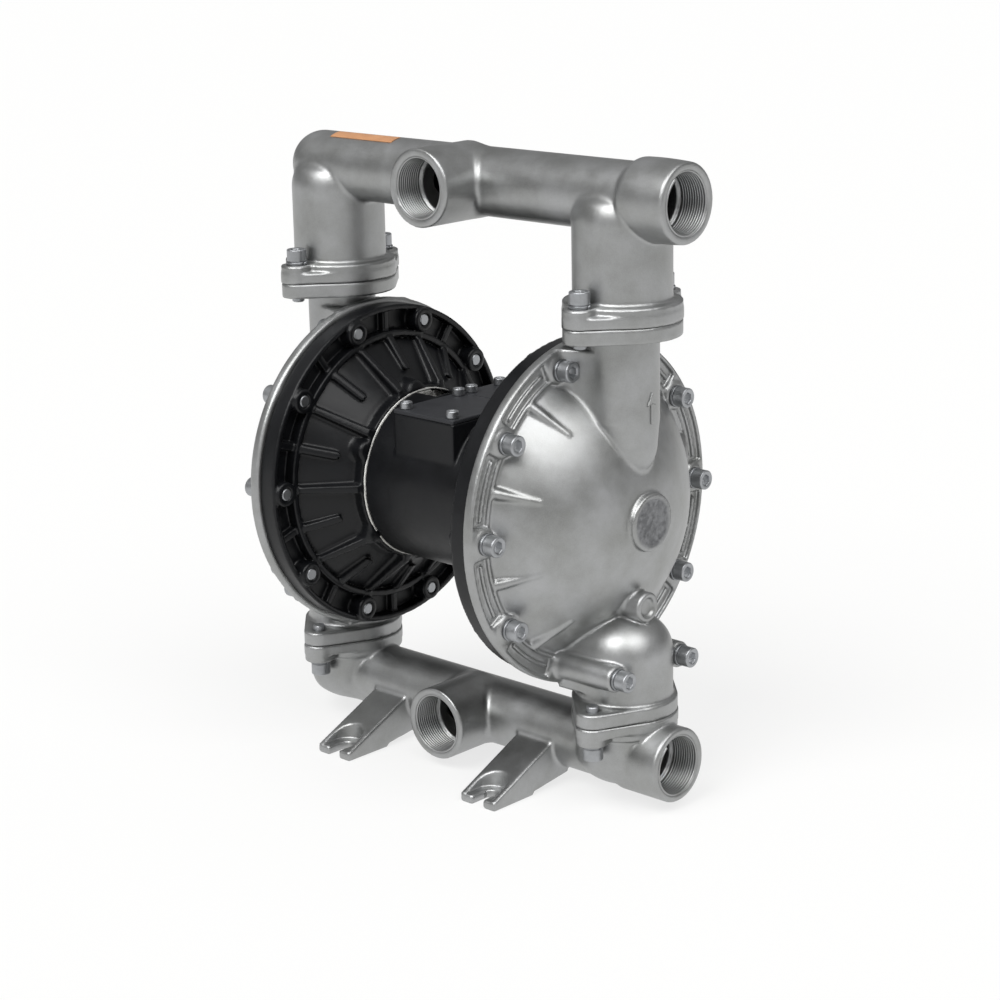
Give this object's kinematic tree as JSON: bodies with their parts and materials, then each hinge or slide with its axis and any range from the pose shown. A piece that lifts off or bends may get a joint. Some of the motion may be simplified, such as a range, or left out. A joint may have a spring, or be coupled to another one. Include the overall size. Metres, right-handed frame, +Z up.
{
  "type": "air operated double diaphragm pump",
  "caption": "Cast stainless diaphragm pump: dished fluid covers and black air housings on a round centre block, ball valve necks, tube manifolds with screwed ports and slotted feet.",
  "frame": {"origin": "middle of the four feet on the floor, under the pump shaft's mid-plane", "axes": "+X along the pump shaft towards the end ports, -Y to the front where the middle ports face, +Z up"},
  "size_m": [0.4145, 0.276, 0.5061],
  "materials": {
    "cast_stainless": "satin, bead blasted casting",
    "black_housing": "semi-gloss black coating",
    "bright_steel": "bright",
    "washer_steel": "satin",
    "ground_steel": "ground and polished",
    "diaphragm_plastic": "matt",
    "gasket_white": "matt",
    "seal_rubber": "matt",
    "bronze": "machined",
    "label_film": "satin film"
  },
  "bodies": {
    "pump_body": {"discharge_manifold": "cast_stainless", "suction_manifold": "cast_stainless", "fluid_cover_right": "cast_stainless", "fluid_cover_left": "cast_stainless", "air_housing_right": "black_housing", "air_housing_left": "black_housing", "centre_block": "black_housing", "block_gasket_right": "gasket_white", "block_gasket_left": "gasket_white", "valve_plate": "black_housing", "pilot_plate": "black_housing", "plate_screws": "bright_steel", "diaphragm_right": "diaphragm_plastic", "diaphragm_left": "diaphragm_plastic", "shaft_bush_right": "bronze", "shaft_bush_left": "bronze", "shaft_seal_right": "seal_rubber", "shaft_seal_left": "seal_rubber", "valve_sleeve": "bronze", "sleeve_plug_right": "washer_steel", "sleeve_plug_left": "washer_steel", "pilot_bush_right": "bronze", "pilot_bush_left": "bronze", "discharge_seat_right": "washer_steel", "discharge_seat_left": "washer_steel", "suction_seat_right": "washer_steel", "suction_seat_left": "washer_steel", "joint_ring_top_right": "gasket_white", "joint_ring_top_left": "gasket_white", "joint_ring_bottom_right": "gasket_white", "joint_ring_bottom_left": "gasket_white", "cover_bolts_right": "bright_steel", "cover_bolts_left": "bright_steel", "cover_washers_right": "washer_steel", "cover_washers_left": "washer_steel", "housing_screws_right": "bright_steel", "housing_screws_left": "bright_steel", "discharge_bolts": "bright_steel", "suction_bolts": "bright_steel", "discharge_washers": "washer_steel", "suction_washers": "washer_steel", "blank_label": "label_film"},
    "shaft_set": {"pump_shaft": "ground_steel", "inner_plate_right": "cast_stainless", "inner_plate_left": "cast_stainless", "outer_plate_right": "cast_stainless", "outer_plate_left": "cast_stainless"},
    "pilot_body": {"pilot_rod": "ground_steel"},
    "spool_body": {"valve_spool": "ground_steel", "spool_rings": "seal_rubber"},
    "discharge_ball_right_body": {"discharge_ball_right": "diaphragm_plastic"},
    "discharge_ball_left_body": {"discharge_ball_left": "diaphragm_plastic"},
    "suction_ball_right_body": {"suction_ball_right": "diaphragm_plastic"},
    "suction_ball_left_body": {"suction_ball_left": "diaphragm_plastic"}
  },
  "joints": [
    {"name": "shaft_slide", "type": "slide", "parent": "pump_body", "child": "shaft_set", "axis": [1, 0, 0], "range_m": [-0.02, 0.02], "deforming": ["diaphragm_right", "diaphragm_left"]},
    {"name": "pilot_slide", "type": "slide", "parent": "pump_body", "child": "pilot_body", "axis": [1, 0, 0], "range_m": [-0.005, 0.005]},
    {"name": "spool_slide", "type": "slide", "parent": "pump_body", "child": "spool_body", "axis": [1, 0, 0], "range_m": [-0.006, 0.006]},
    {"name": "discharge_ball_right_lift", "type": "slide", "parent": "pump_body", "child": "discharge_ball_right_body", "axis": [0, 0, 1], "range_m": [0, 0.012]},
    {"name": "discharge_ball_left_lift", "type": "slide", "parent": "pump_body", "child": "discharge_ball_left_body", "axis": [0, 0, 1], "range_m": [0, 0.012]},
    {"name": "suction_ball_right_lift", "type": "slide", "parent": "pump_body", "child": "suction_ball_right_body", "axis": [0, 0, 1], "range_m": [0, 0.012]},
    {"name": "suction_ball_left_lift", "type": "slide", "parent": "pump_body", "child": "suction_ball_left_body", "axis": [0, 0, 1], "range_m": [0, 0.012]}
  ],
  "couplings": [
    {"joint": "pilot_slide", "follows": "shaft_slide", "ratio": 0.25}
  ]
}
